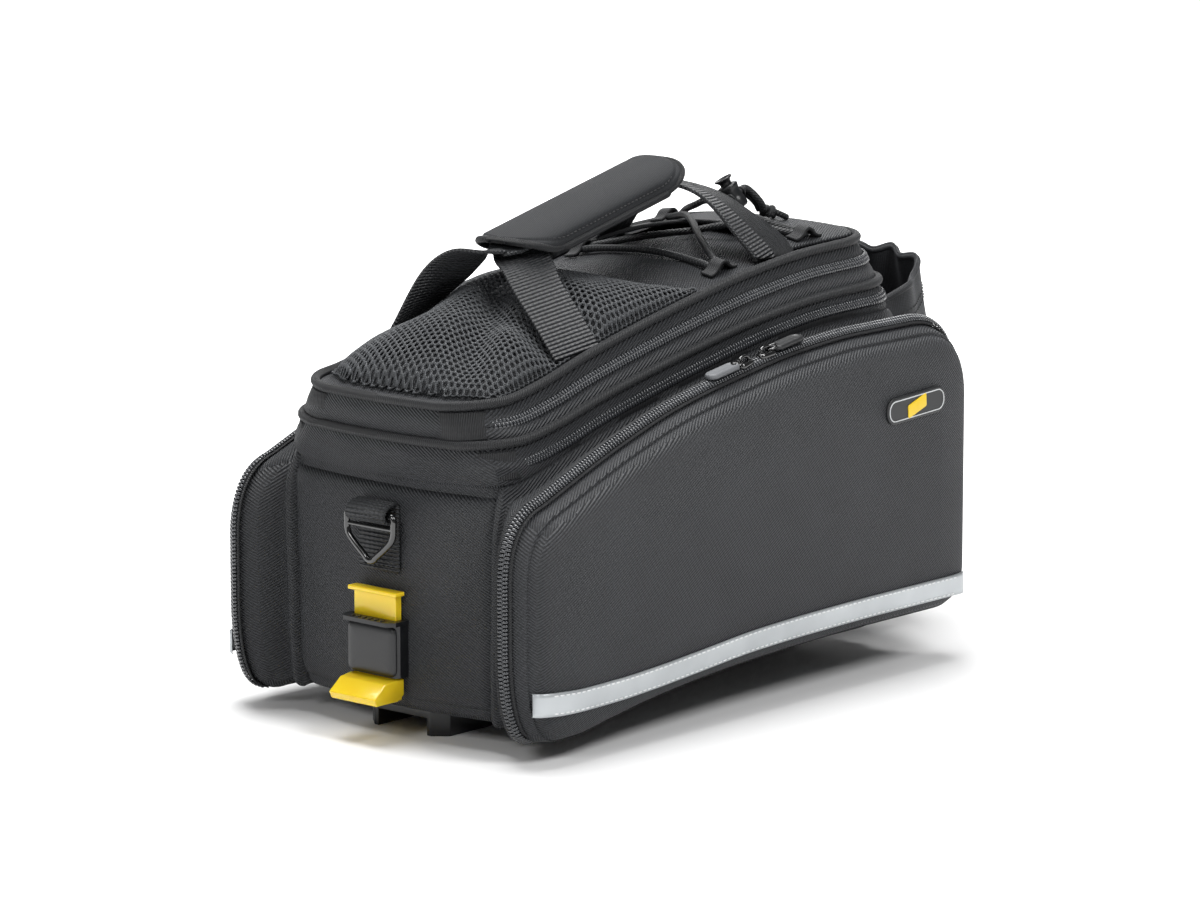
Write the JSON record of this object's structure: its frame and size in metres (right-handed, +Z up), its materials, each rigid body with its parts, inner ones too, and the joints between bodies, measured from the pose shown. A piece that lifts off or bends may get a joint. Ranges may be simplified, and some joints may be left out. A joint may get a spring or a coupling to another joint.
{
  "type": "bicycle trunk bag",
  "caption": "Wedge-shaped bag for a bicycle rack, with zipped side pockets, a netted lid, a padded handle, a bottle pouch and a front latch.",
  "frame": {"origin": "on the floor under the middle of the bag's overall box, level with the bottom of the rail's runners", "axes": "+X towards the bottle pouch at the rear, -X towards the latch at the front, +Y towards the side away from the camera, +Z up"},
  "size_m": [0.4696, 0.2448, 0.2912],
  "materials": {
    "twill": "dark charcoal polyester twill, matt",
    "moulded": "the same twill laminated to moulded foam",
    "binding": "black edge tape and piping",
    "net": "black knitted net",
    "webbing": "black ribbed webbing",
    "zip_coil": "black tape with grey-black coil teeth",
    "neoprene": "smooth neoprene-like padded cover",
    "elastic": "black braided elastic",
    "black_nylon": "satin black moulded nylon",
    "yellow_nylon": "bright yellow moulded nylon",
    "reflective": "silver-grey reflective tape",
    "rubber": "soft grey and black rubber",
    "black_steel": "black coated metal"
  },
  "bodies": {
    "bag": {"body_shell": "twill", "lid_shell": "twill", "net_pocket": "net", "rear_flap": "twill", "lid_piping": "binding", "collar_piping": "binding", "lid_zip": "zip_coil", "lid_zip_tab_far": "binding", "lid_zip_tab_near": "binding", "collar_zip": "zip_coil", "collar_zip_tab_far": "binding", "collar_zip_tab_near": "binding", "base_rail": "black_nylon", "bottle_pouch": "twill", "pocket_gusset_near": "twill", "pocket_gusset_far": "twill", "pocket_panel_near": "moulded", "pocket_panel_far": "moulded", "pocket_zip_near": "zip_coil", "pocket_zip_far": "zip_coil", "stripe_near": "reflective", "stripe_far": "reflective", "badge_near": "rubber", "badge_far": "rubber", "slider_front_near": "black_steel", "slider_front_far": "black_steel", "slider_rear_near": "black_steel", "slider_rear_far": "black_steel", "pull_front_near": "rubber", "pull_front_far": "rubber", "pull_rear_near": "rubber", "pull_rear_far": "rubber", "front_panel": "twill", "ring_loop": "webbing", "latch_housing": "black_nylon", "handle_strap_near": "webbing", "handle_strap_far": "webbing", "handle_grip": "neoprene", "bungee": "elastic", "cord_tab_front_near": "binding", "cord_tab_front_far": "binding", "cord_tab_rear_near": "binding", "cord_tab_rear_far": "binding", "cord_lock": "black_nylon", "cord_lock_button": "black_nylon", "bungee_knot": "elastic"},
    "latch": {"latch": "yellow_nylon"},
    "d_ring": {"d_ring": "black_steel"}
  },
  "joints": [
    {"name": "latch_press", "type": "slide", "parent": "bag", "child": "latch", "axis": [0, 0, -1], "range_m": [0, 0.008], "stiffness_N_per_m": 600, "springref_m": -0.003},
    {"name": "ring_swing", "type": "hinge", "parent": "bag", "child": "d_ring", "pos_m": [-0.2191, 0, 0.1238], "axis": [0, 1, 0], "range_deg": [0, 120]}
  ]
}
